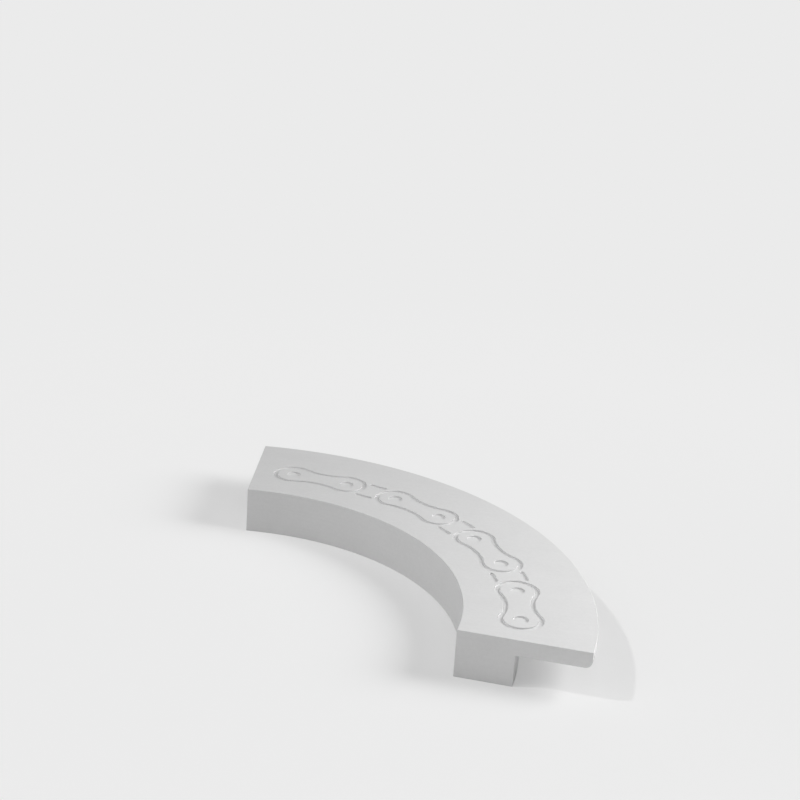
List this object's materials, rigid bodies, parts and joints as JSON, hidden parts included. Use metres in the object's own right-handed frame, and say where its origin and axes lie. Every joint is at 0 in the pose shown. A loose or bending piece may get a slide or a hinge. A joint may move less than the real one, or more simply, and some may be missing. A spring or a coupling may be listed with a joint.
{
  "type": "chainring guard",
  "caption": "Arc segment of a chainring guard: a thick foot wall, a thin flange that reaches out over the bicycle chain, and chain links engraved on top.",
  "frame": {"origin": "middle of the flat seat under the foot wall, on the guard's plane of symmetry, 55.8 mm out from the axis of the arc", "axes": "+Z from the seat up to the top face, parallel to the axis of the arc; +Y outwards along the middle of the arc; +X along its chord"},
  "size_m": [0.1164, 0.044, 0.01],
  "materials": {
    "printed_plastic": "matte"
  },
  "bodies": {
    "root": {"guard_arc": "printed_plastic"}
  },
  "joints": []
}
